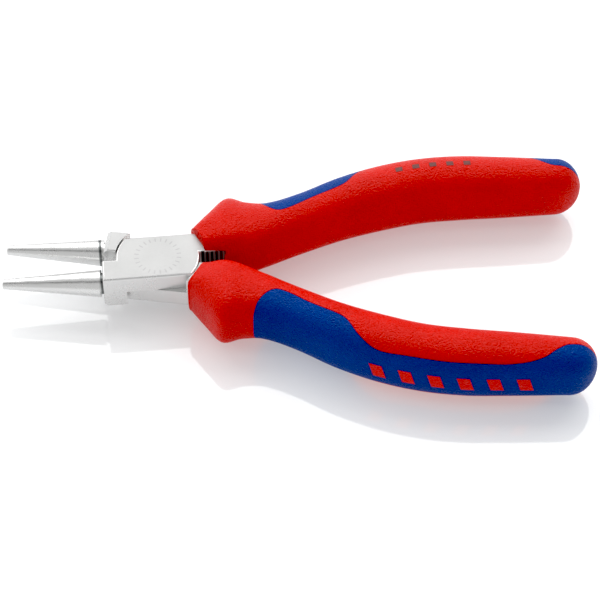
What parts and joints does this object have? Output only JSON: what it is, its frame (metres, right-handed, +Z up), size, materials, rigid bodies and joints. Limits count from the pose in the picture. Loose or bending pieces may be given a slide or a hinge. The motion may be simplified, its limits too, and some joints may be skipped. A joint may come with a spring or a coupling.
{
  "type": "round nose pliers",
  "caption": "Round nose pliers with conical jaws, a riveted lap joint and curved two-colour grips.",
  "frame": {"origin": "middle of the overall box in X and Y, on the surface the grips rest on", "axes": "+X along the pliers towards the handles, jaws towards -X; +Z up, along the joint axis; halves open in the XY plane"},
  "size_m": [0.1392, 0.067, 0.0185],
  "materials": {
    "chromed_steel": "satin chrome plate",
    "red_grip": "fine grained matt",
    "blue_inlay": "soft fine grained matt"
  },
  "bodies": {
    "upper": {"upper_half": "chromed_steel", "rivet": "chromed_steel", "upper_grip": "red_grip", "upper_inlay": "blue_inlay"},
    "lower": {"lower_half": "chromed_steel", "lower_grip": "red_grip", "lower_inlay": "blue_inlay"}
  },
  "joints": [
    {"name": "plier_hinge", "type": "hinge", "parent": "upper", "child": "lower", "pos_m": [-0.03281, 0, 0.00925], "axis": [0, 0, -1], "range_deg": [-12.9, 25]}
  ]
}
